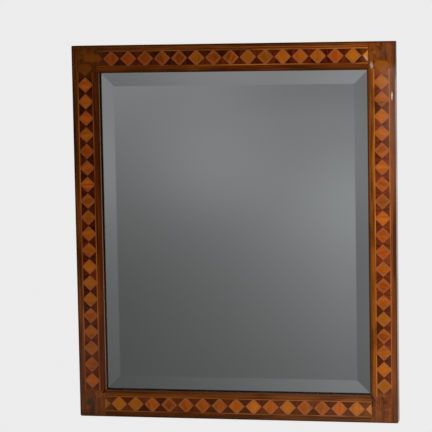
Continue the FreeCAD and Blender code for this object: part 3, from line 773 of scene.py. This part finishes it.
# The film is modelled again, a hair's breadth into the glass, because two faces in one plane would speckle
film_overlap = 0.00001
film_corner, film_corner_steps = 0.003, 6
film_low, film_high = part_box("silver_film")
film_size = film_high - film_low
for chosen in bpy.context.selected_objects:
    chosen.select_set(False)
film_front = (film_low + film_high) / 2
film_front.y = film_low.y - film_overlap
bpy.ops.mesh.primitive_plane_add(size=1, location=film_front, rotation=(quarter_turn, 0, 0))
silvering = bpy.context.object
silvering.name = "silvering"
silvering.scale = (film_size.x, film_size.z, 1)
bpy.ops.object.transform_apply(location=True, rotation=True, scale=True)
bpy.ops.object.mode_set(mode="EDIT")
bpy.ops.mesh.select_all(action="SELECT")
bpy.ops.mesh.bevel(offset=film_corner, segments=film_corner_steps, affect="VERTICES")
bpy.ops.mesh.select_all(action="SELECT")
bpy.ops.mesh.extrude_region_move(TRANSFORM_OT_translate={"value": (0, film_size.y + film_overlap, 0)})
bpy.ops.mesh.select_all(action="SELECT")
bpy.ops.mesh.normals_make_consistent(inside=False)
bpy.ops.object.mode_set(mode="OBJECT")
silver, tree, shader, places = new_material("silver", roughness=0.0, Metallic=1.0)
bright_silver, tarnished_silver = (0.900, 0.905, 0.900, 1), (0.840, 0.840, 0.820, 1)
tarnish = between(tree, noise(tree, places, 30.0, detail=6.0, rough=0.7), 0.62, 0.82)
tree.links.new(blend(tree, tarnish, bright_silver, tarnished_silver), shader.inputs["Base Color"])
silvering.data.materials.append(silver)
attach(silvering, "frame")
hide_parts("silver_film")

paint_dark, paint_red, brush_relief = (0.115, 0.030, 0.018, 1), (0.190, 0.058, 0.035, 1), 0.00008
paint, tree, shader, places = new_material("backing_paint", roughness=0.6)
brushed = noise(tree, places, (12.0, 400.0, 700.0), detail=4.0)
tree.links.new(blend(tree, brushed, paint_dark, paint_red), shader.inputs["Base Color"])
relief(tree, shader, brushed, brush_relief)
finish_node("backing_paint", paint)

# The glue blocks: ten short lengths of triangular pine, rubbed with hot glue into the corner between the
# rebate and the back of the glass. They are cleaner wood than the carcass, and have no knots.
block_pale, block_dark, block_relief = (0.36, 0.21, 0.095, 1), (0.19, 0.09, 0.035, 1), 0.0001
block_pine, tree, shader, places = new_material("block_pine", roughness=0.75, Specular_IOR_Level=0.3)
wood = use_group(
    tree, softwood, Vector=places, Pale=block_pale, Dark=block_dark, Heart_Depth=0.02, Knot_Share=0.0,
)
tree.links.new(wood["Color"], shader.inputs["Base Color"])
relief(tree, shader, wood["Height"], block_relief)
finish_node("glazing_blocks", block_pine)

# The backboard: three thin pine boards laid across, chamfered at the back and screwed on. They are darker
# than the day they were planed, and darkest in the open grain, at the knots and towards their edges.
board_pale = (0.360, 0.205, 0.092, 1)
board_dark = (0.165, 0.075, 0.028, 1)
joint_dirt, dirt_width, dirt_strength = (0.035, 0.018, 0.009, 1), 0.005, 0.75
board_hearts = {"top": (-0.010, 0.045), "middle": (0.012, -0.020), "bottom": (-0.030, -0.060)}
board_shift, board_shift_step = 3.1, 1.7
board_relief = 0.00010

for number, (name, (heart_depth, heart_across)) in enumerate(board_hearts.items()):
    board, tree, shader, places = new_material("board_pine_" + name, roughness=0.7, Specular_IOR_Level=0.35)
    shift = board_shift + board_shift_step * number
    turned = centred_grain(tree, places, "backboard_" + name, False, shift)
    wood = use_group(
        tree, softwood, Vector=turned, Pale=board_pale, Dark=board_dark,
        Heart_Depth=heart_depth, Heart_Across=heart_across, Knot_Share=0.40,
    )
    low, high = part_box("backboard_" + name)
    half_board = (high.z - low.z) / 2
    off_the_middle = calculate(tree, "ABSOLUTE", coordinates(tree, turned)["Z"])
    by_the_joint = between(tree, off_the_middle, half_board - dirt_width, half_board, 0.0, dirt_strength)
    tree.links.new(blend(tree, by_the_joint, wood["Color"], joint_dirt), shader.inputs["Base Color"])
    relief(tree, shader, wood["Height"], board_relief)
    finish_node("backboard_" + name, board)

# The screws: slotted and countersunk, of steel in the boards, dull brown with old rust, and of brass in the
# hangers, where years of damp have left hardly any of it bright.
metal_relief = 0.00005
metal, places, given, result = new_group(
    "old_metal", ("Color", "Metallic", "Roughness", "Height"),
    Clean=(0.5, 0.4, 0.2, 1), Stained=(0.1, 0.06, 0.03, 1), Stain_Share=0.5,
)
blotches = noise(metal, places, 420.0, detail=6.0, rough=0.65)
pits = noise(metal, places, 2600.0, detail=3.0)
stained_from = minus(metal, 0.78, times(metal, given["Stain Share"], 0.5))
stain = between(metal, blotches, stained_from, calculate(metal, "ADD", stained_from, 0.16))
fill(
    metal, result, Color=blend(metal, stain, given["Clean"], given["Stained"]),
    Metallic=times_plus(metal, stain, -0.75, 1.0), Height=times_plus(metal, stain, -0.4, pits),
    Roughness=times_plus(metal, stain, 0.32, times_plus(metal, pits, 0.15, 0.26)),
)


def old_metal(name, clean, stained, share):
    made, tree, shader, places = new_material(name)
    look = use_group(tree, metal, Vector=places, Clean=clean, Stained=stained, Stain_Share=share)
    fill(
        tree, shader.inputs, Base_Color=look["Color"], Metallic=look["Metallic"],
        Roughness=look["Roughness"],
    )
    relief(tree, shader, look["Height"], metal_relief)
    return made


rusty_steel = old_metal("screw_steel", (0.36, 0.33, 0.30, 1), (0.130, 0.062, 0.030, 1), 0.6)
brown_brass = old_metal("screw_brass", (0.40, 0.26, 0.10, 1), (0.060, 0.030, 0.012, 1), 0.95)
finish_node("backboard_screws", rusty_steel)
finish_node("hanger_screws", brown_brass)

# The hangers: brass straps rolled round D-rings of wire, one to each stile. The rings swing in their
# barrels, and the brass has gone brown except where the cord and the ring have rubbed it.
strap_brass = old_metal("strap_brass", (0.60, 0.41, 0.16, 1), (0.130, 0.070, 0.028, 1), 0.5)
ring_brass = old_metal("ring_brass", (0.66, 0.47, 0.19, 1), (0.150, 0.085, 0.035, 1), 0.35)
for side in ("left", "right"):
    finish_node("hanger_strap_" + side, strap_brass)
    finish_node("hanger_ring_" + side, ring_brass)

# The floor: a pale round of plain board half a metre under the mirror, which hangs. Its rim fades away into
# the backdrop, and from below it is clear.
backdrop = (0.842, 0.842, 0.842, 1)
floor_drop, floor_radius, floor_corners = 0.50, 1.75, 96
fade_start, fade_end = 0.7, floor_radius * 0.97
bpy.ops.mesh.primitive_circle_add(
    vertices=floor_corners, radius=floor_radius, fill_type="NGON", location=(0, 0, cad_low[2] - floor_drop),
)
floor = bpy.context.object
floor.name = "floor"
pale_board, tree, shader, places = new_material(
    "pale_floor", roughness=0.9, Specular_IOR_Level=0.1, Base_Color=(0.80, 0.80, 0.80, 1),
)
from_middle = add(tree, "ShaderNodeVectorMath", operation="LENGTH")
tree.links.new(places, from_middle.inputs[0])
rim_share = between(tree, from_middle.outputs["Value"], fade_start, fade_end)
underside = add(tree, "ShaderNodeNewGeometry").outputs["Backfacing"]
clear = add(tree, "ShaderNodeBsdfTransparent")
fade = add(tree, "ShaderNodeMixShader")
faded_away = calculate(tree, "MAXIMUM", rim_share, underside)
feed_all(tree, fade.inputs, faded_away, shader.outputs[0], clear.outputs[0])
tree.links.new(fade.outputs[0], tree.nodes["Material Output"].inputs["Surface"])
floor.data.materials.append(pale_board)

# The light: one soft lamp to the right of the glass, as the photograph has it, and one that lights the back.
# Both point at the middle of the mirror, and neither of them shows in the glass.
lamps = {
    "key": {"at": (1.10, -1.05, 0.0), "size": 0.8, "power": 23.0},
    "back": {"at": (-1.2, 1.7, 1.0), "size": 1.2, "power": 30.0},
}
for name, lamp in lamps.items():
    light = bpy.data.lights.new(name, "AREA")
    light.energy = lamp["power"]
    light.size = lamp["size"]
    holder = bpy.data.objects.new(name, light)
    bpy.context.scene.collection.objects.link(holder)
    holder.location = lamp["at"]
    holder.rotation_euler = (Vector((0, 0, 0)) - Vector(lamp["at"])).to_track_quat("-Z", "Y").to_euler()
    holder.visible_camera = False
    holder.visible_glossy = False
    holder.visible_transmission = False

# The backdrop and the room: the camera sees a plain pale backdrop. The glass looks out into a dim grey
# studio, darkest at the floor on the left, with a broad pale patch to the right of the camera.
world = bpy.data.worlds.new("studio")
bpy.context.scene.world = world
world.use_nodes = True
tree = world.node_tree
tree.nodes.clear()
direction = coordinates(tree, add(tree, "ShaderNodeTexCoord").outputs["Generated"])
ahead = times(tree, direction["Y"], -1.0)
azimuth = calculate(tree, "DEGREES", calculate(tree, "ARCTAN2", direction["X"], ahead))
height = calculate(tree, "DEGREES", calculate(tree, "ARCSINE", direction["Z"]))


def soft_curve(value, low, high, stops):
    """A smooth curve through a few stops, given as (degrees, grey)."""
    curve = add(tree, "ShaderNodeValToRGB")
    curve.color_ramp.interpolation = "B_SPLINE"
    elements = curve.color_ramp.elements
    for element, (place, grey) in zip(
        [elements[0], elements[1]] + [elements.new(0.5) for _ in stops[2:]], stops,
    ):
        element.position = (place - low) / (high - low)
        element.color = (grey, grey, grey, 1)
    tree.links.new(between(tree, value, low, high, how="LINEAR"), curve.inputs[0])
    return channels(tree, curve.outputs[0])[0]


wall_grey = soft_curve(height, -40, 60, [
    (-40, 0.06), (60, 0.7), (-10, 0.078), (-7.5, 0.076), (-5, 0.130), (-2, 0.238), (5, 0.25), (20, 0.42),
])
patch_across = soft_curve(azimuth, -40, 80, [
    (-40, 0.0), (80, 0.0), (-15.5, 0.0), (-11.2, 0.076), (-8, 0.150), (0, 0.30), (25, 0.55), (50, 0.30),
])
patch_up = soft_curve(height, -30, 30, [
    (-30, 0.0), (30, 0.6), (-14, 0.2), (-10, 0.52), (-7, 1.0), (-5.2, 1.05), (-3.4, 0.12), (-1.5, 0.0),
    (6, 0.3),
])
# Three fainter tones, in degrees and grey: a glow at the far left, a round haze, and dusk high on the right
far_left = between(tree, azimuth, -16.2, -17.2)
left_glow = times(tree, far_left, between(tree, height, -5.6, -2.6, -0.012, 0.050))
haze_at, haze_reach, haze_grey = (-11.8, -4.1), (2.9, 2.4), 0.044
haze_across = times_plus(tree, azimuth, 1 / haze_reach[0], -haze_at[0] / haze_reach[0])
haze_up = times_plus(tree, height, 1 / haze_reach[1], -haze_at[1] / haze_reach[1])
from_the_haze = times_plus(tree, haze_up, haze_up, times(tree, haze_across, haze_across))
haze = between(tree, calculate(tree, "SQRT", from_the_haze), 1.0, 0.0, 0.0, haze_grey)
dusk = times(tree, between(tree, azimuth, -12.0, -8.8), between(tree, height, -3.2, -1.9, 0.0, -0.042))
reflected_grey = times_plus(tree, patch_across, patch_up, wall_grey)
for faint in (left_glow, haze, dusk):
    reflected_grey = calculate(tree, "ADD", reflected_grey, faint)
studio_tint = (0.978, 1.0, 1.018)
studio_light = (0.30, 0.30, 0.30, 1)
rays = add(tree, "ShaderNodeLightPath").outputs
in_the_glass = calculate(tree, "MAXIMUM", rays["Is Glossy Ray"], rays["Is Transmission Ray"])
ambient = blend(tree, in_the_glass, studio_light, brightened(tree, studio_tint, reflected_grey))
background = add(tree, "ShaderNodeBackground")
tree.links.new(blend(tree, rays["Is Camera Ray"], ambient, backdrop), background.inputs["Color"])
tree.links.new(background.outputs[0], add(tree, "ShaderNodeOutputWorld").inputs["Surface"])

# The camera: to the right of the mirror and a little above it, as in the photograph, and held one degree
# off level.
camera_place = Vector((0.68687, -3.52882, 0.39585))
camera_aim = Vector((-0.032404, cad_low[1], 0.032003))
camera_roll = math.radians(-1.02572)
camera_lens, camera_sensor = 162.855, 36.0
forward = (camera_aim - camera_place).normalized()
level_right = forward.cross(Vector((0, 0, 1))).normalized()
level_up = level_right.cross(forward)
right_way = math.cos(camera_roll) * level_right + math.sin(camera_roll) * level_up
up_way = -math.sin(camera_roll) * level_right + math.cos(camera_roll) * level_up
camera_data = bpy.data.cameras.new("camera")
camera_data.lens = camera_lens
camera_data.sensor_width = camera_sensor
camera = bpy.data.objects.new("camera", camera_data)
bpy.context.scene.collection.objects.link(camera)
turn = Matrix((right_way, up_way, -forward)).transposed().to_4x4()
camera.matrix_world = Matrix.Translation(camera_place) @ turn
bpy.context.scene.camera = camera
bpy.context.scene.view_settings.view_transform = "Standard"
